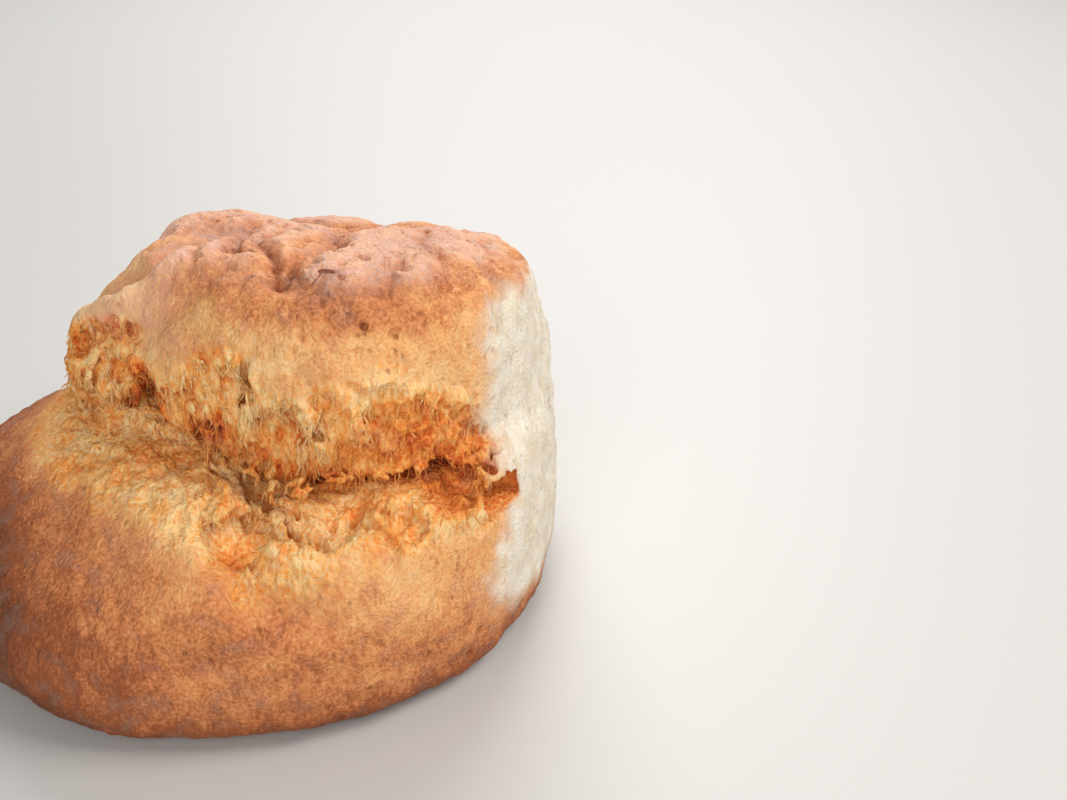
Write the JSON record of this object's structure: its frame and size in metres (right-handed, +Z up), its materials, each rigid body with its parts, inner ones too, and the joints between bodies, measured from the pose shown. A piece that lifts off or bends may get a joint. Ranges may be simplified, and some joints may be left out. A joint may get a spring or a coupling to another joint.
{
  "type": "scone",
  "caption": "Tall rustic scone, one baked piece on a flat base: wide crusty lower half, smaller tilted top, ragged front split and a pale side wall.",
  "frame": {"origin": "under the middle of the scone's bounding box, on the flat base that it rests on", "axes": "+Z up; -Y towards the front with the ragged split; +X towards the pale steep side wall"},
  "size_m": [0.1, 0.099, 0.061],
  "materials": {
    "baked_dough": "matte"
  },
  "bodies": {
    "root": {"scone": "baked_dough"}
  },
  "joints": []
}
